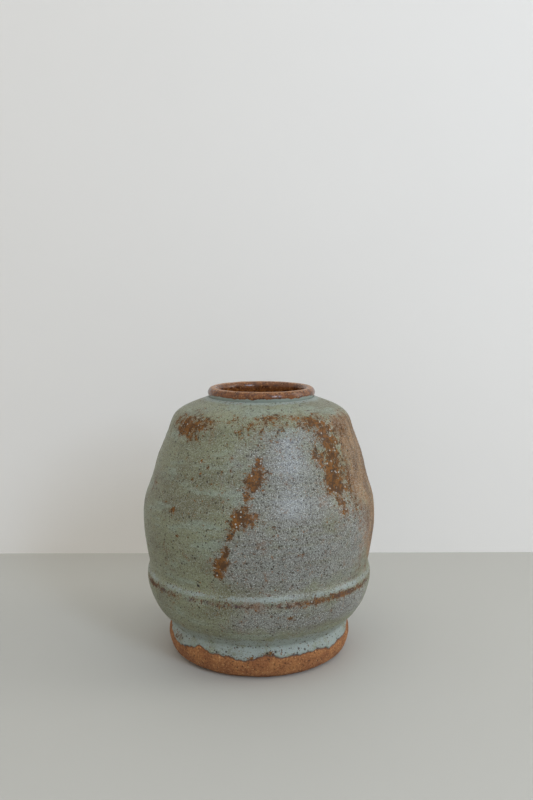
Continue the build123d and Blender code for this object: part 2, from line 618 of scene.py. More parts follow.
def finish_piece(
    shape: bmesh.types.BMesh,
    name: str,
    nodes: tuple[str, ...],
    material: bpy.types.Material,
) -> bpy.types.Object:
    """Makes an object of a finished mesh and hands it to the frame.

    Args:
        shape: The mesh, which is freed.
        name: The piece's name.
        nodes: The nodes that it stands for.
        material: What it is finished with.

    Returns:
        The object.
    """
    bmesh.ops.triangulate(shape, faces=[face for face in shape.faces if len(face.verts) > 4])
    mesh = bpy.data.meshes.new(name)
    shape.to_mesh(mesh)
    shape.free()
    mesh.shade_smooth()
    mesh.materials.append(material)
    piece = bpy.data.objects.new(name, mesh)
    bpy.context.scene.collection.objects.link(piece)
    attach(piece, BODY)
    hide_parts(*nodes)
    LOG.info("%s: %d faces", name, len(mesh.polygons))
    return piece


# --------------------------------------------------------------------------------------------------
# Finishes
# --------------------------------------------------------------------------------------------------


def tone(code: str) -> Colour:
    """Turns a colour code into a shader's colour.

    Args:
        code: Six hexadecimal digits, red first, in display values.

    Returns:
        The linear colour.
    """
    parts = [int(code[at : at + 2], 16) / 255.0 for at in (0, 2, 4)]
    red, green, blue = (
        part / 12.92 if part <= 0.04045 else ((part + 0.055) / 1.055) ** 2.4 for part in parts
    )
    return (red, green, blue, 1.0)


class Recipe:
    """A material's nodes, with short words for what a finish needs."""

    def __init__(self, name: str) -> None:
        """Starts a material that has a plain shader.

        Args:
            name: The material's name.
        """
        self.material = bpy.data.materials.new(name)
        self.material.use_nodes = True
        self.nodes = self.material.node_tree.nodes
        self.links = self.material.node_tree.links
        self.shader = self.nodes["Principled BSDF"]
        self.place = self.nodes.new("ShaderNodeTexCoord").outputs["Object"]

    def feed(self, entry: Socket, value: Socket | float | Colour) -> None:
        """Links a socket to another node's output, or sets its value.

        Args:
            entry: The socket that takes the value.
            value: An output, a number or a colour.
        """
        if isinstance(value, bpy.types.NodeSocket):
            self.links.new(value, entry)
        else:
            entry.default_value = value

    def sum(self, operation: str, first: Socket | float, second: Socket | float) -> Socket:
        """Works out one step of arithmetic.

        Args:
            operation: The Math node's operation.
            first: The first value.
            second: The second value.

        Returns:
            The result.
        """
        node = self.nodes.new("ShaderNodeMath")
        node.operation = operation
        self.feed(node.inputs[0], first)
        self.feed(node.inputs[1], second)
        return node.outputs[0]

    def painted(self, name: str) -> Socket:
        """Returns the value of one of the mesh's own attributes."""
        node = self.nodes.new("ShaderNodeAttribute")
        node.attribute_name = name
        return node.outputs["Fac"]

    def grain(
        self,
        scale: float,
        detail: float = 2.0,
        roughness: float = 0.5,
        stretch: tuple[float, float, float] = (1.0, 1.0, 1.0),
    ) -> Socket:
        """Makes noise on the object's own coordinates.

        Args:
            scale: Waves in a metre.
            detail: How many finer layers there are.
            roughness: How strong the finer layers are.
            stretch: How much the pattern is packed along each axis.

        Returns:
            A value round 0.5.
        """
        node = self.nodes.new("ShaderNodeTexNoise")
        node.inputs["Scale"].default_value = scale
        node.inputs["Detail"].default_value = detail
        node.inputs["Roughness"].default_value = roughness
        place = self.place
        if stretch != (1.0, 1.0, 1.0):
            mapping = self.nodes.new("ShaderNodeMapping")
            mapping.inputs["Scale"].default_value = stretch
            self.links.new(place, mapping.inputs["Vector"])
            place = mapping.outputs["Vector"]
        self.links.new(place, node.inputs["Vector"])
        return node.outputs["Fac"]

    def grit(self, scale: float, chosen: float, size: float) -> Socket:
        """Scatters round specks.

        Args:
            scale: Cells in a metre, each of which may hold one speck.
            chosen: Share of the cells that hold one.
            size: Radius of a speck as a share of its cell.

        Returns:
            1 inside a speck and 0 outside.
        """
        node = self.nodes.new("ShaderNodeTexVoronoi")
        node.inputs["Scale"].default_value = scale
        self.links.new(self.place, node.inputs["Vector"])
        near = self.step(node.outputs["Distance"], size, size * 0.55)
        parts = self.nodes.new("ShaderNodeSeparateColor")
        self.links.new(node.outputs["Color"], parts.inputs["Color"])
        picked = self.sum("LESS_THAN", parts.outputs["Red"], chosen)
        return self.sum("MULTIPLY", near, picked)

    def step(self, value: Socket, low: float, high: float) -> Socket:
        """Makes a soft step from 0 at low to 1 at high.

        Args:
            value: What is compared.
            low: Where the step starts.
            high: Where the step ends.

        Returns:
            The step.
        """
        node = self.nodes.new("ShaderNodeMapRange")
        node.interpolation_type = "SMOOTHSTEP"
        backwards = low > high
        node.inputs["From Min"].default_value = min(low, high)
        node.inputs["From Max"].default_value = max(low, high)
        node.inputs["To Min"].default_value = 1.0 if backwards else 0.0
        node.inputs["To Max"].default_value = 0.0 if backwards else 1.0
        self.links.new(value, node.inputs["Value"])
        return node.outputs["Result"]

    def mix(self, share: Socket | float, first: Socket | Colour, second: Socket | Colour) -> Socket:
        """Blends two colours.

        Args:
            share: How much of the second there is.
            first: The colour at 0.
            second: The colour at 1.

        Returns:
            The blend.
        """
        node = self.nodes.new("ShaderNodeMix")
        node.data_type = "RGBA"
        self.feed(node.inputs[0], share)
        self.feed(node.inputs[6], first)
        self.feed(node.inputs[7], second)
        return node.outputs[2]

    def over(self, base: Socket | Colour, colour: Socket | Colour, share: Socket, most: float) -> Socket:
        """Lays one colour over another.

        Args:
            base: The colour below.
            colour: The colour that is laid on.
            share: Where it lies, from 0 to 1.
            most: How much of it covers where the share is 1.

        Returns:
            The blend.
        """
        return self.mix(self.sum("MULTIPLY", share, most), base, colour)

    def lerp(self, share: Socket, first: float, second: float) -> Socket:
        """Blends two numbers.

        Args:
            share: How much of the second there is.
            first: The number at 0.
            second: The number at 1.

        Returns:
            The blend.
        """
        return self.sum("ADD", self.sum("MULTIPLY", share, second - first), first)

    def sway(self, value: Socket, pattern: Socket, amount: float) -> Socket:
        """Lets a pattern round 0.5 push a value up and down.

        Args:
            value: What is pushed.
            pattern: What pushes it.
            amount: How strongly.

        Returns:
            The pushed value.
        """
        return self.sum("ADD", value, self.sum("MULTIPLY", self.sum("SUBTRACT", pattern, 0.5), amount))

    def relief(self, height: Socket, depth: float, under: Socket | None = None) -> Socket:
        """Turns a height into a bumpy normal.

        Args:
            height: The height, from 0 to 1.
            depth: How deep the relief is.
            under: The normal of a coarser relief that this one lies on.

        Returns:
            The normal.
        """
        node = self.nodes.new("ShaderNodeBump")
        node.inputs["Strength"].default_value = 1.0
        node.inputs["Distance"].default_value = depth
        self.links.new(height, node.inputs["Height"])
        if under is not None:
            self.links.new(under, node.inputs["Normal"])
        return node.outputs["Normal"]

    def dress(
        self,
        colour: Socket | Colour,
        roughness: Socket | float,
        normal: Socket | None = None,
    ) -> bpy.types.Material:
        """Sets the shader.

        Args:
            colour: Its base colour.
            roughness: Its roughness.
            normal: Its normal.

        Returns:
            The finished material.
        """
        self.feed(self.shader.inputs["Base Color"], colour)
        self.feed(self.shader.inputs["Roughness"], roughness)
        if normal is not None:
            self.links.new(normal, self.shader.inputs["Normal"])
        return self.material


@dataclass(frozen=True)
class AshGlaze:
    """The grey-green coat. It breaks to rust where it is thin, and pools pale blue where it is thick.

    Args:
        sage: Its usual colour.
        moss: The darker, browner patches.
        mist: The paler sweeps across them.
        stone: The granular zones.
        tan: The flank that the fire toasted.
        bark: The darker runs in that flank.
        pale: The pools.
        fleck: The finest pale grains.
        pepper: The finest dark grains and the iron specks.
        rust: Where it broke, at its darkest.
        ember: Where it broke, at its lightest.
        scorch_and_notch_shade_tone: The scorched line at the lower edge and along the ridge, and the
            painted shade in the notch over the ridge.
        pinhole_shade: The painted shade inside a pinhole, near black.
        gloss: The shader's specular level.
    """

    sage: Colour = tone("7C7F62")
    moss: Colour = tone("67654C")
    mist: Colour = tone("84907F")
    stone: Colour = tone("797876")
    tan: Colour = tone("98714A")
    bark: Colour = tone("6E4A2C")
    pale: Colour = tone("919B96")
    fleck: Colour = tone("B6BAB3")
    pepper: Colour = tone("383126")
    rust: Colour = tone("4E2F0B")
    ember: Colour = tone("7A4C14")
    scorch_and_notch_shade_tone: Colour = tone("4A4046")
    pinhole_shade: Colour = tone("1C1712")
    gloss: float = 0.4

    def material(self) -> bpy.types.Material:
        """Mixes the glaze.

        Returns:
            Its material, which reads the attributes of COAT_MARKS.
        """
        mix = Recipe("ash_glaze")
        rust, mottle, blush, pool, scorch_and_notch_shade, pit = (mix.painted(name) for name in COAT_MARKS)
        fine = mix.grain(2300.0, 2.0, 0.6)
        sand = mix.grain(1300.0, 3.0, 0.65)
        blotch = mix.grain(420.0, 4.0, 0.6)
        cloud = mix.grain(110.0, 4.0, 0.6)
        drift = mix.grain(34.0, 4.0, 0.6, (1.0, 1.0, 1.5))
        swept = mix.grain(75.0, 4.0, 0.6, (0.6, 0.6, 2.2))
        lines = mix.grain(60.0, 5.0, 0.7, (0.35, 0.35, 9.0))
        runs = mix.grain(160.0, 5.0, 0.65, (1.0, 1.0, 0.3))

        # Broad patches, granular zones, and the fine throwing lines.
        glaze = mix.mix(mix.step(drift, 0.36, 0.58), self.moss, self.sage)
        glaze = mix.over(glaze, self.mist, mix.step(swept, 0.5, 0.66), 0.7)
        granular = mix.step(mix.sway(mottle, cloud, 1.2), 0.15, 0.8)
        glaze = mix.over(glaze, self.stone, granular, 0.8)
        glaze = mix.over(glaze, self.moss, mix.step(lines, 0.53, 0.36), 0.5)

        # The toasted flank, ragged at its edges.
        warm = mix.sway(mix.sway(blush, runs, 1.3), cloud, 1.3)
        warm = mix.step(mix.sway(warm, blotch, 1.0), 0.15, 0.8)
        toasted = mix.mix(mix.step(runs, 0.38, 0.6), self.tan, self.bark)
        glaze = mix.over(glaze, toasted, warm, 0.85)

        # Pale and dark grains, denser where the glaze is granular.
        salt = mix.sum("MULTIPLY", mix.step(fine, 0.51, 0.65), mix.lerp(granular, 0.5, 0.85))
        glaze = mix.mix(salt, glaze, self.fleck)
        dust = mix.sum("MULTIPLY", mix.step(sand, 0.49, 0.36), mix.lerp(granular, 0.5, 0.75))
        glaze = mix.mix(dust, glaze, self.pepper)

        # The pools.
        thick = mix.sway(mix.sway(pool, blotch, 1.2), fine, 0.8)
        glaze = mix.over(glaze, self.pale, mix.step(thick, 0.15, 0.8), 0.88)

        # Rust, with a haze round it and a few pale sparks in it.
        haze = mix.sway(mix.sway(rust, cloud, 1.4), blotch, 1.0)
        glaze = mix.over(glaze, self.ember, mix.step(haze, 0.12, 0.8), 0.4)
        broken = mix.step(mix.sway(mix.sway(rust, blotch, 2.0), sand, 2.4), 0.36, 0.52)
        burnt = mix.mix(mix.step(mix.grain(380.0, 4.0, 0.7), 0.42, 0.6), self.rust, self.ember)
        burnt = mix.over(burnt, self.pepper, mix.step(fine, 0.47, 0.34), 0.8)
        burnt = mix.over(burnt, self.fleck, mix.grit(420.0, 0.75, 0.22), 0.75)
        glaze = mix.over(glaze, burnt, broken, 0.96)

        # Iron specks, the scorched line, the painted shade in the notch over the ridge, and the pinholes,
        # filled with near-black painted shade.
        specks = mix.sum("MAXIMUM", mix.grit(230.0, 0.7, 0.17), mix.grit(520.0, 0.85, 0.22))
        specks = mix.sum("MAXIMUM", specks, mix.grit(340.0, 0.8, 0.19))
        glaze = mix.over(glaze, self.pepper, specks, 0.9)
        # The scorch mark also carries painted shade: a dark line in the notch over the ridge.
        scorch = mix.sway(mix.sway(scorch_and_notch_shade, sand, 1.6), blotch, 1.0)
        glaze = mix.over(glaze, self.scorch_and_notch_shade_tone, mix.step(scorch, 0.3, 0.7), 0.7)
        # The pinholes are filled with near-black painted shade.
        glaze = mix.mix(mix.step(pit, 0.25, 0.7), glaze, self.pinhole_shade)

        # Glossy where it is granular, and dry where it is rust or toasted.
        dry = mix.sum("MAXIMUM", broken, warm)
        roughness = mix.sum("ADD", mix.lerp(granular, 0.44, 0.25), mix.sum("MULTIPLY", dry, 0.38))
        roughness = mix.sway(roughness, sand, 0.25)
        mix.shader.inputs["Specular IOR Level"].default_value = self.gloss
        rough_skin = mix.relief(sand, 0.12 * MM)
        return mix.dress(glaze, roughness, mix.relief(fine, 0.05 * MM, rough_skin))


@dataclass(frozen=True)
class IronGlaze:
    """A glossy red-brown iron coat.

    Args:
        name: The material's name.
        deep: Its colour where it is thick.
        warm: Its usual colour.
        worn: Its colour where it is thin.
        ash: Its colour where the ash glaze crept over it.
    """

    name: str = "iron_glaze"
    deep: Colour = tone("46230F")
    warm: Colour = tone("73421C")
    worn: Colour = tone("A67444")
    ash: Colour = tone("8E988F")

    def material(self) -> bpy.types.Material:
        """Mixes the glaze.

        Returns:
            Its material, which reads the attributes wear and ash of the coat.
        """
        mix = Recipe(self.name)
        streaks = mix.grain(320.0, 4.0, 0.65, (1.0, 1.0, 1.6))
        sand = mix.grain(1100.0, 3.0, 0.6)
        colour = mix.mix(mix.step(streaks, 0.34, 0.6), self.deep, self.warm)
        colour = mix.over(colour, self.worn, mix.step(sand, 0.52, 0.68), 0.6)
        worn = mix.step(mix.sway(mix.painted("wear"), sand, 1.6), 0.15, 0.85)
        colour = mix.over(colour, self.worn, worn, 0.75)
        colour = mix.over(colour, self.deep, mix.grit(520.0, 0.5, 0.2), 0.8)
        crept = mix.step(mix.sway(mix.painted("ash"), sand, 0.8), 0.35, 0.65)
        colour = mix.over(colour, self.ash, crept, 0.95)
        roughness = mix.lerp(worn, 0.2, 0.36)
        skin = mix.relief(mix.grain(420.0, 2.0, 0.5), 0.16 * MM)
        return mix.dress(colour, roughness, mix.relief(sand, 0.05 * MM, skin))


@dataclass(frozen=True)
class BareClay:
    """Unglazed stoneware, gritty, with dark iron specks and pale grog.

    Args:
        toast: Its darker patches.
        amber: Its lighter patches.
        char: Its iron specks.
        grog: Its pale grains.
        scorch_and_contact_shade: The scorched line beside the glaze, and the painted shade along the
            foot's lower edge, where it stands on the table.
    """

    toast: Colour = tone("8A5630")
    amber: Colour = tone("A26C3E")
    char: Colour = tone("36210F")
    grog: Colour = tone("CFA673")
    scorch_and_contact_shade: Colour = tone("5A4038")

    def material(self) -> bpy.types.Material:
        """Mixes the clay.

        Returns:
            Its material, which reads the attribute halo of the clay.
        """
        mix = Recipe("bare_clay")
        cloud = mix.grain(110.0, 4.0, 0.6)
        sand = mix.grain(1050.0, 4.0, 0.75)
        colour = mix.mix(mix.step(cloud, 0.38, 0.62), self.toast, self.amber)
        colour = mix.over(colour, self.char, mix.step(sand, 0.48, 0.36), 0.75)
        colour = mix.over(colour, self.grog, mix.step(sand, 0.56, 0.66), 0.6)
        colour = mix.over(colour, self.char, mix.grit(430.0, 0.6, 0.2), 0.9)
        # The scorched line beside the glaze, and painted shade along the foot's lower edge.
        burnt = mix.sway(mix.painted("scorch_and_contact_shade"), sand, 0.6)
        colour = mix.over(colour, self.scorch_and_contact_shade, mix.step(burnt, 0.25, 0.8), 0.75)
        skin = mix.relief(mix.grain(380.0, 3.0, 0.6), 0.2 * MM)
        return mix.dress(colour, 0.88, mix.relief(sand, 0.3 * MM, skin))


@dataclass(frozen=True)
class FiredSlip:
    """The thin slip that lutes one thrown section to the next.

    Args:
        pale: Its lighter smears.
        dark: Its darker smears.
    """

    pale: Colour = tone("7A5A40")
    dark: Colour = tone("4A3426")

    def material(self) -> bpy.types.Material:
        """Returns the slip's material."""
        mix = Recipe("fired_slip")
        smear = mix.grain(300.0, 4.0, 0.65)
        colour = mix.mix(mix.step(smear, 0.3, 0.7), self.dark, self.pale)
        return mix.dress(colour, 0.92, mix.relief(smear, 0.2 * MM))


# --------------------------------------------------------------------------------------------------
# The coat outside
# --------------------------------------------------------------------------------------------------


@dataclass(frozen=True)
class Run:
    """A place where the glaze's lower edge stopped higher or ran lower.

    Args:
        angle: Its middle.
        width: Half its width in degrees.
        rise: How much higher the edge is there, in millimetres.
    """

    angle: float
    width: float
    rise: float


@dataclass(frozen=True)
class GlazeEdge:
    """The ragged lower edge of the outer coat, above the bare foot.

    Args:
        base: Its usual height.
        rag: Size of its small teeth.
        runs: The larger rises and runs, all the way round.
    """

    base: float = 12.0 * MM
    rag: float = 0.75 * MM
    runs: tuple[Run, ...] = (
        Run(-84.0, 11.0, 6.5),
        Run(-56.0, 8.0, -1.4),
        Run(-37.0, 5.0, 2.0),
        Run(-9.0, 4.5, -1.7),
        Run(6.0, 5.0, 1.2),
        Run(47.0, 4.0, -1.4),
        Run(86.0, 12.0, 6.5),
        Run(118.0, 12.0, -1.6),
        Run(150.0, 9.0, 2.2),
        Run(187.0, 14.0, -2.0),
        Run(214.0, 8.0, 1.6),
        Run(243.0, 9.0, -1.5),
    )

    @cache
    def height(self, angle: float) -> float:
        """Gives the edge's height.

        Args:
            angle: Angle round the vase.

        Returns:
            Height above the table.
        """
        rise = sum(run.rise * hump(turn_between(angle, run.angle), 0.0, run.width) for run in self.runs)
        teeth = ripple(angle, 0.0, 22.0, 0.0, 3.0) + 0.5 * ripple(angle, 0.0, 55.0, 0.0, 8.0)
        return self.base + rise * MM + self.rag * teeth


@dataclass(frozen=True)
class Pit:
    """A pinhole that burst in the kiln.

    Args:
        angle: Angle round the vase.
        height: Height in millimetres.
        radius: Radius in millimetres.
        depth: Depth in millimetres.
    """

    angle: float
    height: float
    radius: float
    depth: float


@dataclass
class OuterCoat:
    """The grey-green coat from the foot to the neck, with its bead, pools, throwing lines and pinholes.

    Args:
        clay: The surface that it lies on.
        hand: How the thrown shape strays.
        marks: Where the kiln marked it.
        edge: Its lower edge.
        thickness: Its usual thickness.
        spacing: Distance between two rings of the mesh.
        steps: Faces in one ring.
        joined: Height below which the coat's rings follow the ragged edge.
        neck: How far below the top of the neck the coat stops following the clay and meets the lip.
        collar: Where it meets the lip, in millimetres out from the clay lip and up from the coat's top.
        collar_pool: How much the coat pools there.
        bead: How far up from the edge the coat reaches its full thickness.
        bead_rings: Millimetres above the edge at which the rings of the bead stand.
        seed: Picks the small pinholes.
        pinholes: How many small pinholes there are.
        feet: Where the points found so far stand on the clay, by radius and height.
    """

    clay: ClayLine
    hand: PottersHand
    marks: KilnMarks
    edge: GlazeEdge
    thickness: float = 0.6 * MM
    spacing: float = 0.95 * MM
    steps: int = 400
    joined: float = 27.0 * MM
    neck: float = 1.2 * MM
    collar: tuple[tuple[float, float], ...] = (
        (1.35, -0.5),
        (0.75, -0.2),
        (0.42, 0.08),
        (0.12, 0.2),
        (-0.02, -0.03),
        (-0.5, -0.03),
        (-0.7, -0.44),
    )
    collar_pool: float = 0.65
    bead: float = 1.0 * MM
    bead_rings: tuple[float, ...] = (0.0, 0.1, 0.25, 0.45, 0.7, 1.0, 1.4)
    seed: int = 11
    pinholes: int = 34
    feet: dict[tuple[float, float], tuple[float, float]] = field(default_factory=dict)

    def __post_init__(self) -> None:
        """Keeps the pinholes, which are read at every point."""
        self.holes = self.pits()

    def pits(self) -> list[Pit]:
        """Returns the large pinholes and the small ones."""
        chance = random.Random(self.seed)
        large = [Pit(-29.8, 49.5, 1.1, 0.5), Pit(4.5, 14.2, 0.8, 0.4), Pit(9.5, 14.6, 0.9, 0.4)]
        small = [
            Pit(chance.uniform(-180, 180), chance.uniform(24, 126), chance.uniform(0.45, 0.8), 0.3)
            for _ in range(self.pinholes)
        ]
        return large + small

    def build(self, material: bpy.types.Material) -> bpy.types.Object:
        """Builds the coat.

        Args:
            material: Its glaze.

        Returns:
            The piece.
        """
        low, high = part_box("outer_glaze")
        bottom, top = low.z, self.clay.top - self.neck
        *first_rings, last_ring = self.bead_rings
        start = bottom + last_ring * MM
        heights = [bottom + step * MM for step in first_rings]
        heights += self.clay.heights(start, top, self.spacing)
        lining = self.clay.heights(bottom, top, 5 * self.spacing)
        outside = [self.clay.at(height).off(self.swell(height - bottom)) for height in heights]
        inside = [self.clay.at(height).off(0.0) for height in reversed(lining)]
        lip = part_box("rolled_lip")[1].x
        collar = [Vector((lip + across * MM, 0.0, high.z + up * MM)) for across, up in self.collar]

        coat = bmesh.new()
        thread(coat, [*outside, *collar, *inside[:-1]])
        spin_round(coat, self.steps)
        self.refine(coat)
        layers = {name: coat.verts.layers.float.new(name) for name in COAT_MARKS}
        for vert in coat.verts:
            self.settle(vert, bottom, layers)
        return finish_piece(coat, "ash_glaze_coat", ("outer_glaze",), material)

    def swell(self, above: float) -> float:
        """Gives the coat's thickness by the distance above its edge, where it rounds off in a bead.

        Args:
            above: Distance above the edge.

        Returns:
            The thickness.
        """
        share = min(above / self.bead, 1.0)
        return self.thickness * math.sqrt(max(1.0 - (1.0 - share) ** 2, 0.0))

    def refine(self, coat: bmesh.types.BMesh) -> None:
        """Cuts the faces round each pinhole small enough to hold it.

        Args:
            coat: The coat, still in its true turned shape.
        """
        tree = KDTree(len(coat.verts))
        for index, vert in enumerate(coat.verts):
            tree.insert(vert.co, index)
        tree.balance()
        coat.verts.ensure_lookup_table()
        near: set[bmesh.types.BMEdge] = set()
        for pit in self.holes:
            spot = self.clay.at(pit.height * MM)
            middle = polar(spot.radius + spot.out * self.thickness, pit.angle, spot.height)
            for _, index, _ in tree.find_range(middle, 2.2 * pit.radius * MM):
                near.update(coat.verts[index].link_edges)
        bmesh.ops.subdivide_edges(coat, edges=list(near), cuts=2, use_grid_fill=True)

    def settle(
        self,
        vert: bmesh.types.BMVert,
        bottom: float,
        layers: dict[str, bmesh.types.BMLayerItem],
    ) -> None:
        """Moves one point of the coat to its place and paints its marks.

        Args:
            vert: The point.
            bottom: Height of the true turned coat's lower edge.
            layers: The attributes that are painted.
        """
        angle = round(angle_of(vert.co), 3)
        if vert.co.z > self.clay.top - 0.5 * self.neck:
            vert[layers["pool"]] = self.collar_pool
            vert.co = self.hand.shape(vert.co)
            return
        height, off = self.foot_of(round(math.hypot(vert.co.x, vert.co.y), 7), round(vert.co.z, 7))
        lower = self.edge.height(angle)
        if height < self.joined:
            height = self.joined - (self.joined - height) * (self.joined - lower) / (self.joined - bottom)
        spot = self.clay.at(height)
        share = min(max(off / self.thickness, 0.0), 1.0)
        extra = 0.0
        if share > 0.0:
            marks = self.paint(angle, spot, height - lower)
            for name, layer in layers.items():
                vert[layer] = marks[name]
            extra = share * self.relief(angle, spot, height - lower, marks)
            extra *= ease(height, self.clay.top - self.neck, self.clay.top - 4 * self.neck)
        place = spot.off(share * self.thickness + extra)
        vert.co = self.hand.shape(polar(place.x, angle, place.z))

    def foot_of(self, radius: float, height: float) -> tuple[float, float]:
        """Finds where a point of the coat stands on the clay.

        Args:
            radius: The point's distance from the axis.
            height: Its height above the table.

        Returns:
            The height of the clay under it, and its distance off the clay.
        """
        if (radius, height) not in self.feet:
            near = self.clay.at(height)
            off = max((radius - near.radius) * near.out, 0.0)
            for _ in range(3):
                near = self.clay.at(height - near.rise * off)
                off = (radius - near.radius) * near.out + (height - near.height) * near.rise
            self.feet[radius, height] = (near.height, off)
        return self.feet[radius, height]

    def paint(self, angle: float, spot: Spot, above: float) -> dict[str, float]:
        """Gives the marks at one place.

        Args:
            angle: Angle round the vase.
            spot: The clay there.
            above: Distance above the coat's lower edge.

        Returns:
            Each attribute's value, by its name.
        """
        height = spot.height / MM
        rust = self.marks.strength(Mark.RUST, angle, spot.height, spot.radius)
        wild = 0.5 + 0.5 * ripple(angle, spot.height, 9.0, 60.0, 21.0)
        jitter = 0.5 * ripple(angle, 0.0, 6.0, 0.0, 5.0)
        jitter += 0.7 * ripple(angle, spot.height, 40.0, 200.0, 8.0)

        # The ridge breaks to rust along its crest, most of all to the right.
        crest = hump(height, CREST + jitter, 1.5)
        loud = 0.36 + 0.6 * hump(turn_between(angle, 40.0), 0.0, 24.0)
        loud += 0.35 * hump(turn_between(angle, -64.0), 0.0, 14.0) + 0.3 * hump(abs(angle), 150.0, 40.0)
        rust = 1.0 - (1.0 - rust) * (1.0 - min(crest * loud * (0.5 + 0.9 * wild), 1.0))

        # Pools lie on the ridge, above the foot, down the bowl, under the lip and on the shoulder.
        patchy = 0.75 + 0.5 * ripple(angle, spot.height, 7.0, 40.0, 31.0)
        pool = 0.75 * patchy * ease(height, 43.2, 44.2) * ease(height, 47.2, 45.9)
        pool += 0.85 * patchy * ease(height, 27.0, 20.0)
        pool += 0.3 * ease(height, 40.0, 34.0) * max(ripple(angle, spot.height, 16.0, 12.0, 44.0), 0.0)
        pool += 0.25 * ease(height, 132.9, 133.7)
        pool += 0.2 * ease(height, 127.0, 132.5)

        # The scorched line runs along the lower edge and the ridge. The dark line in the notch over it is
        # painted shade.
        scorch_and_notch_shade = hump(above / MM, 0.0, 0.8) * min(max(2.2 * wild - 0.7, 0.0), 1.0)
        # The crest term is scorch; the notch term is painted shade.
        scorch_and_notch_shade = max(scorch_and_notch_shade, 0.85 * crest * wild, 0.4 * wild * hump(height, NOTCH + 0.5 * jitter, 0.8))
        mottle = self.marks.strength(Mark.MOTTLE, angle, spot.height, spot.radius)
        blush = self.marks.strength(Mark.BLUSH, angle, spot.height, spot.radius)
        return {
            "rust": rust,
            "mottle": mottle,
            "blush": blush,
            "pool": min(pool, 1.0),
            "scorch_and_notch_shade": scorch_and_notch_shade,
            "pit": self.sunk(angle, spot),
        }

    def relief(self, angle: float, spot: Spot, above: float, marks: dict[str, float]) -> float:
        """Gives how much the coat's surface stands above or below its usual thickness.

        Args:
            angle: Angle round the vase.
            spot: The clay there.
            above: Distance above the coat's lower edge.
            marks: What is painted there.

        Returns:
            The distance, positive where the coat is thicker.
        """
        lines = ripple(angle, spot.height, 0.5, 330.0, 13.0)
        lines += 0.6 * ripple(angle, spot.height, 0.9, 760.0, 2.0)
        skin = ripple(angle, spot.height, 30.0, 480.0, 6.0)
        bead = hump(above / MM, 1.1, 1.1)
        rise = 0.11 * lines + 0.05 * skin + 0.22 * bead
        rise += 0.12 * marks["pool"] - 0.14 * marks["rust"]
        rise -= PIT_DEPTH * marks["pit"]
        return rise * MM

    def sunk(self, angle: float, spot: Spot) -> float:
        """Gives how far a place lies inside a pinhole.

        Args:
            angle: Angle round the vase.
            spot: The clay there.

        Returns:
            1 at the middle of the largest pinholes and 0 outside them all.
        """
        sunk = 0.0
        for pit in self.holes:
            up = spot.height / MM - pit.height
            if abs(up) < 2.0 * pit.radius:
                across = math.radians(turn_between(angle, pit.angle)) * spot.radius / MM
                sunk = max(sunk, pit.depth * hump(math.hypot(across, up), 0.0, 0.7 * pit.radius))
        return sunk / PIT_DEPTH


# --------------------------------------------------------------------------------------------------
# The lip and the other turned pieces
# --------------------------------------------------------------------------------------------------


@dataclass
class LipCoat:
    """The iron coat that is brushed over the rolled lip and down the throat.

    Args:
        hand: How the thrown shape strays.
        steps: Faces in one ring.
        spacing: Distance between two rings of the mesh.
        shore: Millimetres above the middle of the roll at which the ash glaze meets the iron.
        drips: Where the coat ran down on to the neck: angle, width in degrees, length in millimetres.
    """

    hand: PottersHand
    steps: int = 320
    spacing: float = 0.5 * MM
    shore: float = -0.75
    drips: tuple[tuple[float, float, float], ...] = (
        (-9.0, 3.2, 0.7),
        (-27.0, 9.0, 0.35),
        (33.0, 3.0, 0.6),
        (40.5, 2.4, 0.5),
        (74.0, 5.0, 0.5),
        (129.0, 4.0, 0.7),
        (181.0, 6.0, 0.5),
        (236.0, 4.0, 0.8),
        (287.0, 7.0, 0.5),
    )

    def build(self, material: bpy.types.Material) -> bpy.types.Object:
        """Builds the coat.

        Args:
            material: Its glaze.

        Returns:
            The piece.
        """
        coat = cut_section("lip_glaze")
        long_edges = [edge for edge in coat.edges if edge.calc_length() > self.spacing]
        bmesh.ops.subdivide_edges(coat, edges=long_edges, cuts=3)
        spin_round(coat, self.steps)
        wear, ash = (coat.verts.layers.float.new(name) for name in ("wear", "ash"))
        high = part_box("lip_glaze")[1]
        for vert in coat.verts:
            self.settle(vert, (wear, ash), high)
        return finish_piece(coat, "iron_lip_coat", ("lip_glaze",), material)

    def settle(
        self,
        vert: bmesh.types.BMVert,
        layers: tuple[bmesh.types.BMLayerItem, bmesh.types.BMLayerItem],
        high: Vector,
    ) -> None:
        """Moves one point of the coat to its place and paints its wear and the ash that crept up it.

        Args:
            vert: The point.
            layers: The attributes wear and ash, which are painted.
            high: The highest corner of the coat.
        """
        angle = angle_of(vert.co)
        radius = math.hypot(vert.co.x, vert.co.y)
        height = vert.co.z
        middle = high.z - ROLL
        outside = ease(radius, high.x - 2.6 * MM, high.x - 1.2 * MM)
        run = sum(long * hump(turn_between(angle, at), 0.0, wide) for at, wide, long in self.drips)
        run += 0.3 * ripple(angle, 0.0, 14.0, 0.0, 9.0) + 0.2 * ripple(angle, 0.0, 40.0, 0.0, 5.0)
        lumps = 0.10 * ripple(angle, height, 3.2, 260.0, 17.0)
        lumps += 0.05 * ripple(angle, height, 11.0, 420.0, 1.0)
        roll = Vector((radius - (high.x - ROLL), height - middle))
        if roll.length > WELD:
            roll.normalize()
        above = ease(height, middle - 3 * MM, middle)
        wear, ash = layers
        shore = middle + (self.shore - run) * MM
        vert[ash] = outside * ease(height, shore + 0.35 * MM, shore - 0.35 * MM)
        radius += lumps * above * roll.x * MM
        height += lumps * above * roll.y * MM
        radius += 0.16 * outside * hump(height, shore + 0.5 * MM, 0.7 * MM) * MM
        vert[wear] = ease(height, high.z - 0.9 * MM, high.z) * (0.75 + 0.25 * ripple(angle, 0, 8, 0, 2))
        vert.co = self.hand.shape(polar(radius, angle, height))


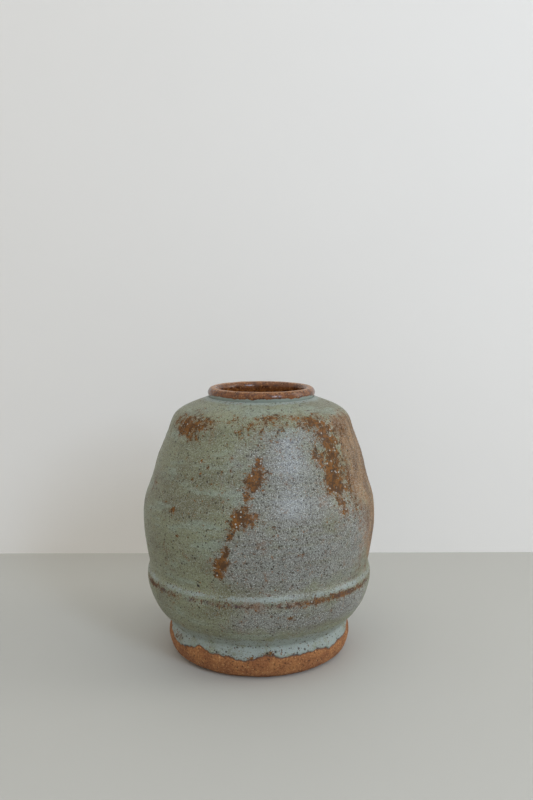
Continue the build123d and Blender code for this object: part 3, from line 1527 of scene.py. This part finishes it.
@dataclass
class TurnedPiece:
    """A turned piece whose section is taken from its node as it is.

    Args:
        node: The node that it stands for.
        name: The piece's name.
        slot: The record's material slot. It is not used.
        steps: Faces in one ring.
        spacing: Longest stretch of the section between two rings, or 0 for the node's own points.
        roughen: Gives how far a point moves off the true surface, if the piece isn't smooth.
    """

    node: str
    name: str
    slot: str
    steps: int = 160
    spacing: float = 0.0
    roughen: Callable[[Vector], float] | None = None

    def build(self, hand: PottersHand, material: bpy.types.Material) -> bpy.types.Object:
        """Builds the piece.

        Args:
            hand: How the thrown shape strays.
            material: Its finish.

        Returns:
            The piece.
        """
        shape = cut_section(self.node)
        while self.spacing and any(edge.calc_length() > self.spacing for edge in shape.edges):
            long_edges = [edge for edge in shape.edges if edge.calc_length() > self.spacing]
            bmesh.ops.subdivide_edges(shape, edges=long_edges, cuts=1)
        spin_round(shape, self.steps)
        self.weather(shape)
        shape.normal_update()
        if self.roughen:
            moves = [(vert, vert.normal * self.roughen(vert.co)) for vert in shape.verts]
            for vert, move in moves:
                vert.co += move
                vert.co.z = max(vert.co.z, 0.0)
        for vert in shape.verts:
            vert.co = hand.shape(vert.co)
        return finish_piece(shape, self.name, (self.node,), material)

    def weather(self, shape: bmesh.types.BMesh) -> None:
        """Wears and paints the piece. A plain piece is left as it is.

        Args:
            shape: The piece, in its true turned shape.
        """


@dataclass
class FootRing(TurnedPiece):
    """The bare foot, gritty, worn at its lower edge, scorched beside the glaze, and darkened with painted
    shade where it stands on the table.

    Args:
        edge: The lower edge of the coat above it.
        worn: How far the lower outer corner is worn back.
        tread: Radius inside which the foot isn't worn.
    """

    edge: GlazeEdge = field(default_factory=GlazeEdge)
    worn: float = 1.9 * MM
    tread: float = 42.0 * MM

    def weather(self, shape: bmesh.types.BMesh) -> None:
        """Wears the lower corner back, and paints the scorched line and a dark line of painted shade
        where the foot meets the table.

        Args:
            shape: The foot, in its true turned shape.
        """
        scorch_and_contact_shade = shape.verts.layers.float.new("scorch_and_contact_shade")
        for vert in shape.verts:
            angle = angle_of(vert.co)
            radius = math.hypot(vert.co.x, vert.co.y)
            if radius > self.tread:
                worn = self.worn * (1.0 + 0.2 * ripple(angle, 0.0, 4.0, 0.0, 6.0))
                radius -= min(worn * ease(vert.co.z, 2.6 * MM, 0.0), radius - self.tread)
                vert.co = polar(radius, angle, vert.co.z)
            below = (self.edge.height(angle) - vert.co.z) / MM
            scorch = 0.85 * hump(below, 0.0, 0.8 + 0.5 * ripple(angle, 0.0, 5.0, 0.0, 3.0))
            # Painted shade, darkest where the foot stands on the table.
            contact_shade = 0.55 * ease(vert.co.z, 0.9 * MM, 0.1 * MM)
            vert[scorch_and_contact_shade] = max(scorch, contact_shade)


def grit_of_foot(place: Vector) -> float:
    """Gives how far the bare clay stands off its true surface.

    Args:
        place: A point of the foot.

    Returns:
        The distance, positive outwards.
    """
    coarse = noise.noise(place * 330.0)
    fine = noise.noise(place * 900.0 + Vector((3.0, 1.0, 2.0)))
    chips = min(noise.noise(place * 210.0 + Vector((9.0, 4.0, 1.0))) + 0.45, 0.0)
    return (0.07 * coarse + 0.06 * fine + 0.5 * chips) * MM


def wash_of_liner(place: Vector) -> float:
    """Gives the soft waves of the coat inside.

    Args:
        place: A point of the liner.

    Returns:
        The distance, positive outwards.
    """
    return 0.05 * noise.noise(place * 160.0) * MM


# --------------------------------------------------------------------------------------------------
# Studio
# --------------------------------------------------------------------------------------------------


@dataclass(frozen=True)
class Window:
    """A soft light in the shape of a window.

    Args:
        name: Its name.
        angle: Angle round the vase at which it stands.
        rise: Its angle above the horizon, seen from the middle of the vase.
        distance: Its distance.
        width: Its width.
        height: Its height.
        power: Its power in watts.
        colour: Its colour.
    """

    name: str
    angle: float
    rise: float
    distance: float
    width: float
    height: float
    power: float
    colour: tuple[float, float, float]

    def hang(self, aim: Vector) -> None:
        """Hangs the light.

        Args:
            aim: What it points at.
        """
        data = bpy.data.lights.new(self.name, "AREA")
        data.shape = "RECTANGLE"
        data.size, data.size_y = self.width, self.height
        data.energy = self.power
        data.color = self.colour
        light = bpy.data.objects.new(self.name, data)
        rise = math.radians(self.rise)
        reach = polar(self.distance * math.cos(rise), self.angle, self.distance * math.sin(rise))
        light.location = aim + reach
        light.rotation_euler = (-reach).to_track_quat("-Z", "Y").to_euler()
        bpy.context.scene.collection.objects.link(light)


@dataclass
class Studio:
    """The pale table and wall, the windows, the room's own light and the camera.

    Args:
        eye_distance: Distance of the camera from the axis.
        eye_height: Height of the camera above the table.
        pitch: How far the camera looks down.
        yaw: How far the camera looks to the right of the axis.
        lens: Its focal length in millimetres, on a 36 mm sensor.
        wall_distance: How far the wall stands behind the axis.
        floor_size: Half the table's width.
        table: The table's colour.
        wall: The wall's colour.
        shade: The colour of the faint clouds in both.
        sky: The colour of the room's own light.
        sky_strength: Its strength.
        aim_height: Height at which the windows point.
        windows: The windows.
    """

    eye_distance: float = 423.5 * MM
    eye_height: float = 183.1 * MM
    pitch: float = 6.82
    yaw: float = 0.54
    lens: float = 36.44
    wall_distance: float = 0.157
    floor_size: float = 1.6
    table: Colour = tone("BAB9B2")
    wall: Colour = tone("EEEBE6")
    shade: Colour = tone("A8A8A0")
    sky: Colour = tone("E9E8E6")
    sky_strength: float = 0.86
    aim_height: float = 80 * MM
    windows: tuple[Window, ...] = (
        Window("window_front", 34.0, 27.0, 1.1, 0.2, 0.44, 3.8, (0.64, 0.78, 1.0)),
        Window("window_side", 108.0, 22.0, 1.2, 1.3, 1.3, 10.8, (1.0, 0.98, 0.95)),
        Window("ceiling", 20.0, 84.0, 1.3, 1.4, 1.4, 3.1, (1.0, 0.99, 0.96)),
    )

    def build(self) -> None:
        """Sets up everything round the vase."""
        self.lay_table()
        self.stand_wall()
        self.light_room()
        aim = Vector((0.0, 0.0, self.aim_height))
        for window in self.windows:
            window.hang(aim)
        self.stand_camera()

    def plain(self, name: str, colour: Colour) -> Recipe:
        """Gives a plain, slightly uneven paint.

        Args:
            name: The material's name.
            colour: Its colour.

        Returns:
            The recipe, dressed.
        """
        mix = Recipe(name)
        mix.dress(mix.over(colour, self.shade, mix.grain(6.0, 3.0), 0.08), 0.62)
        return mix

    def sheet(self, name: str, material: bpy.types.Material) -> tuple[bmesh.types.BMesh, bpy.types.Mesh]:
        """Makes a flat square, still at the origin.

        Args:
            name: Its name.
            material: Its paint.

        Returns:
            The square's bmesh, and the mesh that it goes into.
        """
        square = bmesh.new()
        bmesh.ops.create_grid(square, x_segments=1, y_segments=1, size=self.floor_size)
        mesh = bpy.data.meshes.new(name)
        mesh.materials.append(material)
        return square, mesh

    def show(self, square: bmesh.types.BMesh, mesh: bpy.types.Mesh) -> None:
        """Puts a finished square on the stage.

        Args:
            square: The square, which is freed.
            mesh: The mesh that it goes into.
        """
        square.to_mesh(mesh)
        square.free()
        obj = bpy.data.objects.new(mesh.name, mesh)
        bpy.context.scene.collection.objects.link(obj)

    def lay_table(self) -> None:
        """Lays the table."""
        square, mesh = self.sheet("table", self.plain("table_paint", self.table).material)
        self.show(square, mesh)

    def stand_wall(self) -> None:
        """Stands the wall, which is clear from behind, so that it never hides the vase."""
        mix = self.plain("wall_paint", self.wall)
        side = mix.nodes.new("ShaderNodeNewGeometry").outputs["Backfacing"]
        blend = mix.nodes.new("ShaderNodeMixShader")
        clear = mix.nodes.new("ShaderNodeBsdfTransparent")
        mix.links.new(side, blend.inputs[0])
        mix.links.new(mix.shader.outputs[0], blend.inputs[1])
        mix.links.new(clear.outputs[0], blend.inputs[2])
        mix.links.new(blend.outputs[0], mix.nodes["Material Output"].inputs["Surface"])
        square, mesh = self.sheet("wall", mix.material)
        for vert in square.verts:
            vert.co = Vector((vert.co.x, self.wall_distance, vert.co.y + self.floor_size))
        bmesh.ops.recalc_face_normals(square, faces=square.faces)
        if square.faces[:][0].normal.y > 0.0:
            bmesh.ops.reverse_faces(square, faces=square.faces)
        self.show(square, mesh)

    def light_room(self) -> None:
        """Fills the room with soft light."""
        world = bpy.data.worlds.new("room")
        world.use_nodes = True
        paint = world.node_tree.nodes["Background"]
        paint.inputs["Color"].default_value = self.sky
        paint.inputs["Strength"].default_value = self.sky_strength
        bpy.context.scene.world = world

    def stand_camera(self) -> None:
        """Stands the camera in front of the vase."""
        data = bpy.data.cameras.new("camera")
        data.sensor_width = 36.0
        data.lens = self.lens
        data.clip_start = 0.01
        camera = bpy.data.objects.new("camera", data)
        camera.location = (0.0, -self.eye_distance, self.eye_height)
        camera.rotation_euler = (math.radians(90.0 - self.pitch), 0.0, math.radians(-self.yaw))
        bpy.context.scene.collection.objects.link(camera)
        bpy.context.scene.camera = camera


# --------------------------------------------------------------------------------------------------
# The vase
# --------------------------------------------------------------------------------------------------


@dataclass
class Vase:
    """The whole vase.

    Args:
        clay: The outer surface of its clay.
        hand: How it strays from a true turned shape.
        marks: Where the kiln marked it.
        edge: The lower edge of its outer coat.
    """

    clay: ClayLine = field(default_factory=ClayLine)
    hand: PottersHand = field(default_factory=PottersHand)
    marks: KilnMarks = field(default_factory=KilnMarks)
    edge: GlazeEdge = field(default_factory=GlazeEdge)

    def build(self) -> None:
        """Builds every piece of the vase, from the clay out to the glazes."""
        bare, slip = BareClay().material(), FiredSlip().material()
        iron = IronGlaze().material()
        brown = IronGlaze("liner_glaze", deep=tone("24140C"), warm=tone("4A2A18"), worn=tone("6E4A2C"))
        dark = brown.material()
        foot = FootRing(
            "foot_ring",
            "bare_foot_ring",
            "bare_stoneware",
            steps=384,
            spacing=0.9 * MM,
            roughen=grit_of_foot,
            edge=self.edge,
        )
        bowl = TurnedPiece("lower_bowl", "thrown_bowl", "bare_stoneware", spacing=3 * MM)
        body = TurnedPiece("upper_body", "thrown_body", "bare_stoneware")
        lip = TurnedPiece("rolled_lip", "clay_lip", "bare_stoneware")
        joints = TurnedPiece("joining_slip", "slip_joints", "joining_slip")
        liner = TurnedPiece(
            "liner_glaze",
            "liner_coat",
            "liner_glaze",
            spacing=4 * MM,
            roughen=wash_of_liner,
        )
        for piece in (foot, bowl, body, lip):
            piece.build(self.hand, bare)
        joints.build(self.hand, slip)
        liner.build(self.hand, dark)
        LipCoat(self.hand).build(iron)
        OuterCoat(self.clay, self.hand, self.marks, self.edge).build(AshGlaze().material())


def main() -> None:
    """Builds the vase and the studio round it."""
    logging.basicConfig(level=logging.INFO, format="%(name)s: %(message)s")
    bpy.context.scene.view_settings.view_transform = "Standard"
    Vase().build()
    Studio().build()


if __name__ == "__main__":
    main()
